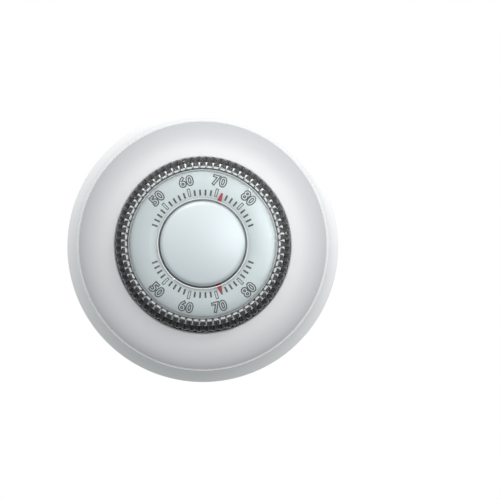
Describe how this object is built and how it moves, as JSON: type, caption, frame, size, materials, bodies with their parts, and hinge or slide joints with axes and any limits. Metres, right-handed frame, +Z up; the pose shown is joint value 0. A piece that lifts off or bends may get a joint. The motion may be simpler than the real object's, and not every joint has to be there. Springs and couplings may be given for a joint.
{
  "type": "wall thermostat",
  "caption": "Round wall thermostat: wall plate, flared white case, pull-off cover ring, fluted clear dial, silver scale, red pointers and a working cam-and-contact mechanism.",
  "frame": {"origin": "on the dial's axis, in the plane of the wall plate's back face, where the plate meets the wall", "axes": "+Z is up and +Y points into the wall; the dial faces -Y and +X is to the right of a person who faces it"},
  "size_m": [0.0826, 0.0381, 0.0826],
  "materials": {
    "white_case": "gloss, off-white",
    "cover_white": "matte, off-white",
    "clear_plastic": "clear, polished",
    "plate_plastic": "matte moulded",
    "satin_silver": "satin with black printed scale",
    "cap_silver": "fine satin",
    "pointer_red": "crimson enamel",
    "zinc_steel": "zinc plated",
    "brass": "plain",
    "bimetal": "rolled strip",
    "spring_steel": "blued",
    "inner_plastic": "moulded",
    "contact_silver": "fine silver",
    "magnet_grey": "sintered",
    "card_brown": "fibre card",
    "resistance_wire": "close wound wire",
    "label_white": "printed divisions"
  },
  "bodies": {
    "base": {"wall_plate": "plate_plastic", "terminal_straps": "brass", "terminal_washers": "brass", "terminal_screws": "zinc_steel", "insert_posts": "brass", "base_case": "white_case", "captive_screws": "zinc_steel", "retainer_ring": "zinc_steel", "retainer_screws": "zinc_steel", "supply_strap": "brass", "load_strap": "brass", "scale_cup": "satin_silver", "scale_posts": "brass", "scale_screws": "zinc_steel", "centre_post": "brass", "post_screw": "zinc_steel", "cap_core": "white_case", "centre_cap": "cap_silver", "room_coil": "bimetal", "anchor_pin": "brass", "coil_pin": "brass", "magnet": "magnet_grey", "contact_bracket": "zinc_steel", "fixed_contact": "contact_silver", "bracket_rivet": "zinc_steel", "stop_pin": "brass", "leaf_post": "brass", "lever_spring": "spring_steel", "anticipator_card": "card_brown", "anticipator_winding": "resistance_wire", "anticipator_label": "label_white"},
    "dial": {"clear_dial": "clear_plastic", "set_pointer": "pointer_red", "cam_segment": "inner_plastic"},
    "lever": {"cam_lever": "inner_plastic"},
    "thermometer": {"room_pointer": "pointer_red", "room_sleeve": "brass"},
    "contact_arm": {"contact_arm": "brass", "control_coil": "bimetal", "moving_contact": "contact_silver", "armature": "zinc_steel"},
    "anticipator": {"anticipator_slider": "brass"},
    "cover": {"cover_ring": "cover_white"}
  },
  "joints": [
    {"name": "dial_turn", "type": "hinge", "parent": "base", "child": "dial", "pos_m": [0, 0, 0], "axis": [0, 1, 0], "range_deg": [-90, 48]},
    {"name": "lever_swing", "type": "hinge", "parent": "base", "child": "lever", "pos_m": [0.012, 0, 0], "axis": [0, 1, 0], "range_deg": [-3.6, 6.75], "deforming": ["lever_spring"]},
    {"name": "room_pointer_turn", "type": "hinge", "parent": "base", "child": "thermometer", "pos_m": [0, 0, 0], "axis": [0, -1, 0], "range_deg": [-90, 48], "stiffness_Nm_per_rad": 0.002},
    {"name": "contact_snap", "type": "hinge", "parent": "base", "child": "contact_arm", "pos_m": [0.012, 0, 0], "axis": [0, -1, 0], "range_deg": [-0.75, 1.6], "stiffness_Nm_per_rad": 0.02},
    {"name": "anticipator_adjust", "type": "hinge", "parent": "base", "child": "anticipator", "pos_m": [0, 0, 0], "axis": [0, -1, 0], "range_deg": [-26, 24]},
    {"name": "cover_pull", "type": "slide", "parent": "base", "child": "cover", "axis": [0, -1, 0], "range_m": [0, 0.03]}
  ],
  "couplings": [
    {"joint": "lever_swing", "follows": "dial_turn", "ratio": -0.075}
  ]
}
